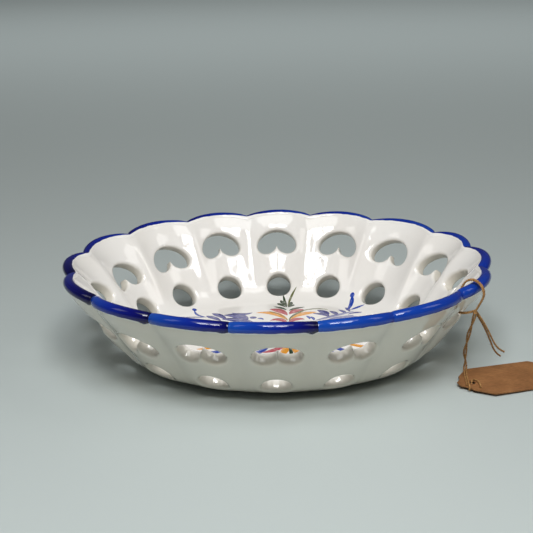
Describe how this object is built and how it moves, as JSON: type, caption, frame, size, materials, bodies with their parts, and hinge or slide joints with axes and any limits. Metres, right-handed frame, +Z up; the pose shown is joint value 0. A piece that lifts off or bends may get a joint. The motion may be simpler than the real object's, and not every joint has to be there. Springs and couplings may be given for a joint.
{
  "type": "berry colander bowl",
  "caption": "Oval glazed bowl with a lobed, pierced wall that drains fruit, a blue scalloped lip, and a paper tag tied through the rim with twine.",
  "frame": {"origin": "middle of the bowl, on the surface that its foot stands on", "axes": "+X along the bowl's length, +Y away from the picture's viewer, +Z up"},
  "size_m": [0.244, 0.183, 0.052],
  "materials": {
    "white_glaze": "gloss",
    "blue_glaze": "gloss",
    "twine": "matte",
    "kraft_card": "matte"
  },
  "bodies": {
    "bowl": {"bowl_body": "white_glaze", "rim_lip": "blue_glaze", "twine_rim_loop": "twine"},
    "hanging_twine": {"twine_knot": "twine", "twine_leg": "twine", "twine_tails": "twine"},
    "tag": {"paper_tag": "kraft_card", "tag_hitch": "twine"}
  },
  "joints": [
    {"name": "tag_swing", "type": "hinge", "parent": "bowl", "child": "hanging_twine", "pos_m": [0.09119, -0.04274, 0.0362], "axis": [-0.4636, -0.8861, 0], "range_deg": [0, 70]},
    {"name": "tag_swivel", "type": "hinge", "parent": "hanging_twine", "child": "tag", "pos_m": [0.0899, -0.03058, 0.00483], "axis": [0, 0, 1], "range_deg": [-70, 50]}
  ]
}
